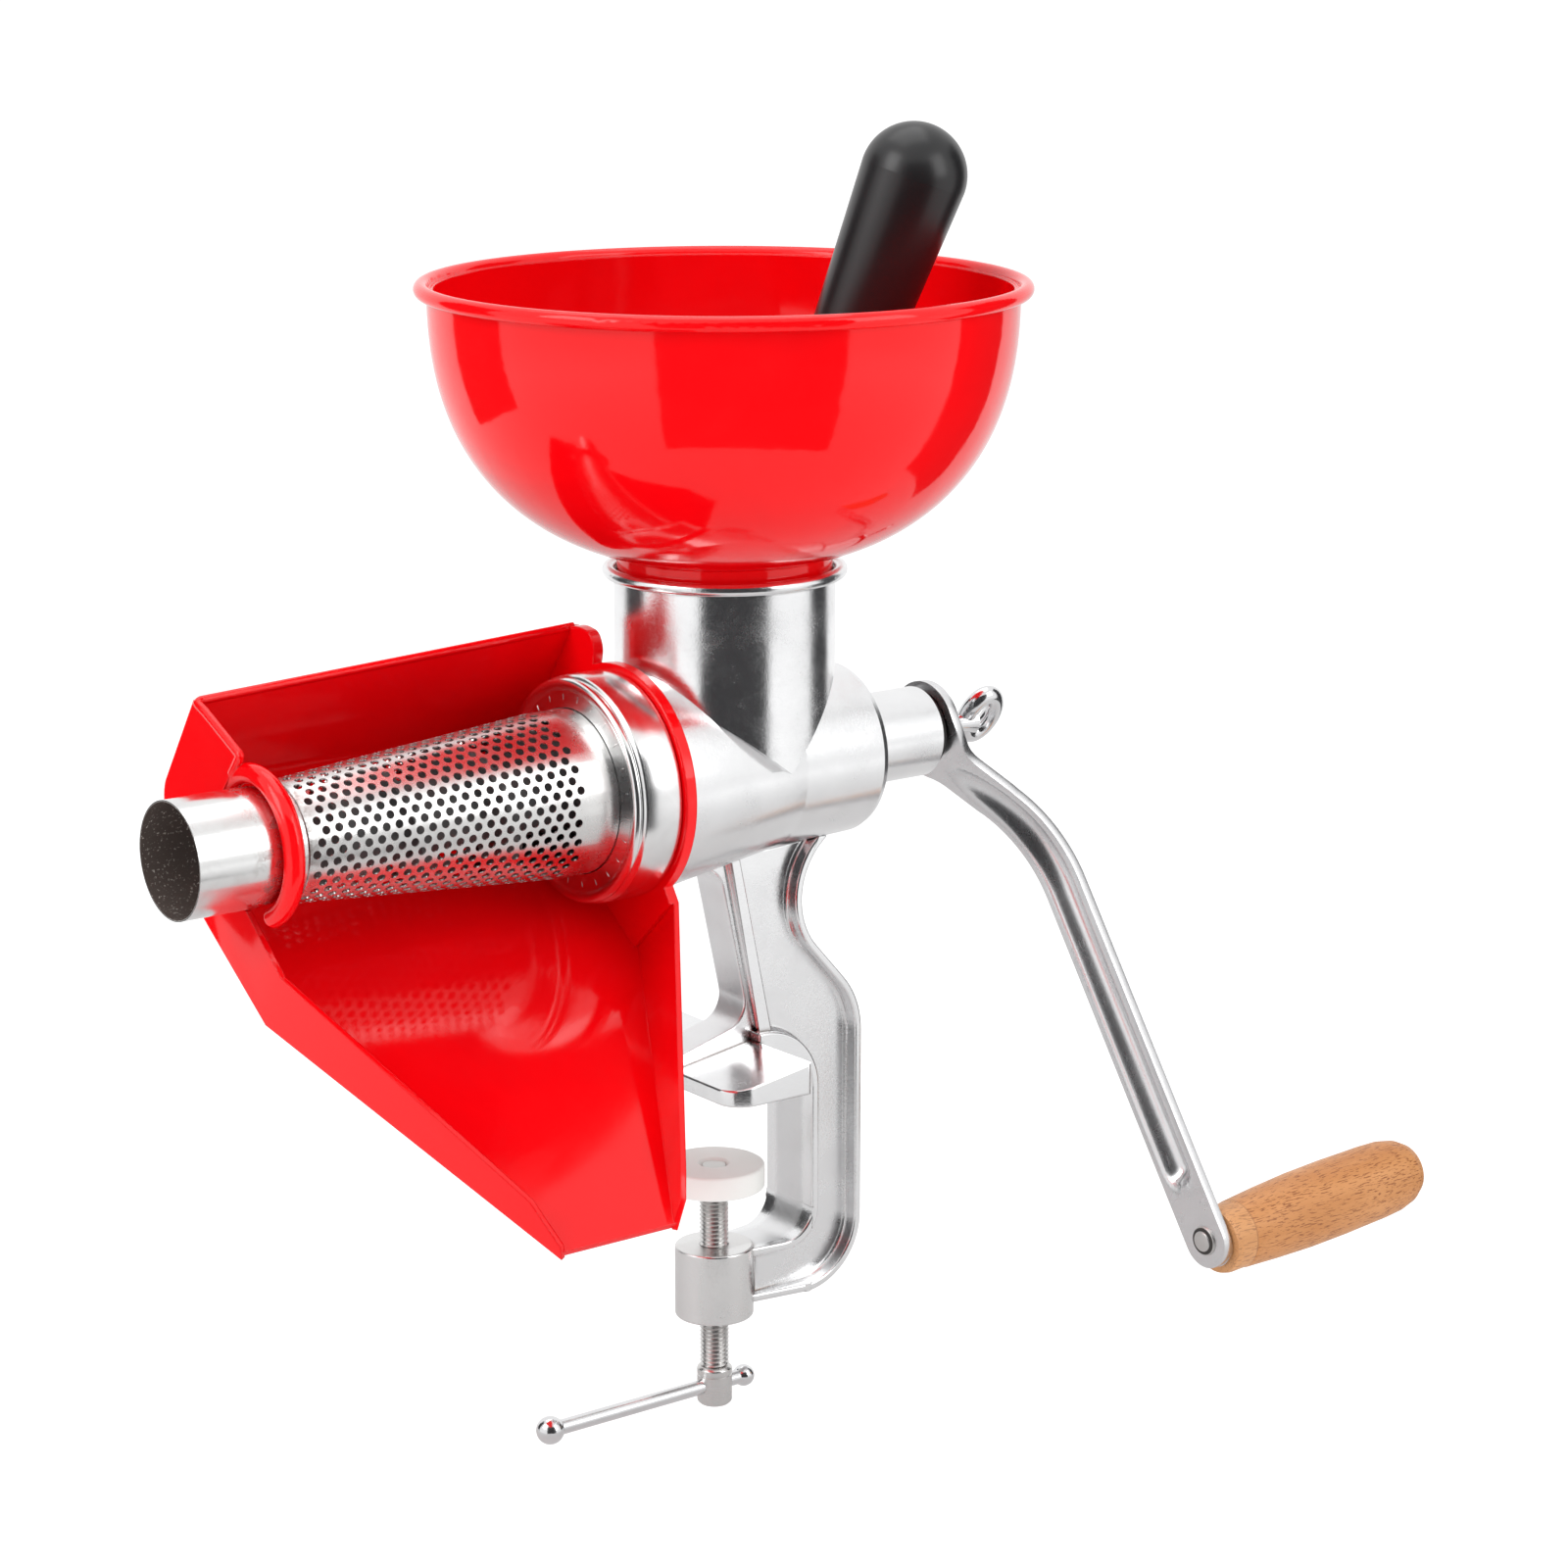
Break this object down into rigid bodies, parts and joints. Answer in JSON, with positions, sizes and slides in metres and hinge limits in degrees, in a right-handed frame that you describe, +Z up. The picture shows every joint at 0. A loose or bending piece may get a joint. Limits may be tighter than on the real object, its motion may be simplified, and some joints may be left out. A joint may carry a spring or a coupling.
{
  "type": "tomato strainer",
  "caption": "Hand-cranked tomato strainer with a table clamp, red funnel bowl and splash tray, perforated cone screen, bent crank with a wooden grip, and a black pestle.",
  "frame": {"origin": "middle of the flat underside of the jaw that rests on the table top, on the axis of the clamp screw", "axes": "+X along the barrel towards the crank, +Z up along the chute and the clamp screw, -Y towards the side that the splash tray drains to"},
  "size_m": [0.4354, 0.216, 0.4349],
  "materials": {
    "cast_metal": "cast and tumbled, with polished rims",
    "ring_steel": "turned and polished",
    "screen_steel": "bright sheet",
    "drive_steel": "turned",
    "crank_steel": "plated sheet",
    "plated_steel": "bright zinc plate",
    "red_plastic": "glossy moulded",
    "black_plastic": "satin moulded",
    "beech": "lacquered, with short dark flecks",
    "white_plastic": "plain moulded",
    "seal_rubber": "plain"
  },
  "bodies": {
    "frame": {"body_casting": "cast_metal", "clamp_frame": "cast_metal", "mouth_gasket": "seal_rubber", "screen_flange": "screen_steel", "screen_cone": "screen_steel", "outlet_tube": "screen_steel", "rear_bushing": "white_plastic", "shaft_seal": "seal_rubber"},
    "ring": {"ring_nut": "ring_steel"},
    "tray": {"drip_tray": "red_plastic"},
    "crank": {"auger": "white_plastic", "auger_shaft": "drive_steel", "auger_spring": "drive_steel", "crank_arm": "crank_steel", "eye_screw": "plated_steel", "grip_spindle": "plated_steel", "grip_washer": "crank_steel"},
    "handle": {"grip": "beech"},
    "hopper": {"hopper_bowl": "red_plastic"},
    "pestle": {"pestle_body": "black_plastic", "pestle_cap": "black_plastic"},
    "pad": {"clamp_pad": "white_plastic"},
    "screw": {"clamp_screw": "plated_steel", "pad_rivet": "plated_steel"},
    "bar": {"tommy_bar": "plated_steel", "bar_knobs": "plated_steel"}
  },
  "joints": [
    {"name": "crank_spin", "type": "hinge", "parent": "frame", "child": "crank", "pos_m": [0, 0, 0.105], "axis": [1, 0, 0], "continuous": true},
    {"name": "grip_spin", "type": "hinge", "parent": "crank", "child": "handle", "pos_m": [0.13248, -0.10397, -0.06139], "axis": [0.998, 0.0336, 0.0538], "continuous": true},
    {"name": "ring_turn", "type": "hinge", "parent": "frame", "child": "ring", "pos_m": [-0.05, 0, 0.105], "axis": [-1, 0, 0], "range_deg": [0, 60]},
    {"name": "tray_swing", "type": "hinge", "parent": "frame", "child": "tray", "pos_m": [-0.037, 0, 0.105], "axis": [1, 0, 0], "range_deg": [-25, 25]},
    {"name": "pad_travel", "type": "slide", "parent": "frame", "child": "pad", "axis": [0, 0, 1], "range_m": [-0.02, 0.0185]},
    {"name": "screw_turn", "type": "hinge", "parent": "pad", "child": "screw", "pos_m": [0, 0, -0.1], "axis": [0, 0, 1], "range_deg": [-4800, 4440]},
    {"name": "bar_slide", "type": "slide", "parent": "screw", "child": "bar", "axis": [1, 0, 0], "range_m": [-0.002, 0.056]},
    {"name": "hopper_lift", "type": "slide", "parent": "frame", "child": "hopper", "axis": [0, 0, 1], "range_m": [0, 0.06]},
    {"name": "pestle_lift", "type": "slide", "parent": "hopper", "child": "pestle", "axis": [0.2714, -0.2082, 0.9397], "range_m": [0, 0.15]}
  ],
  "couplings": [
    {"joint": "pad_travel", "follows": "screw_turn", "m_per_rad": 0.00023873}
  ]
}
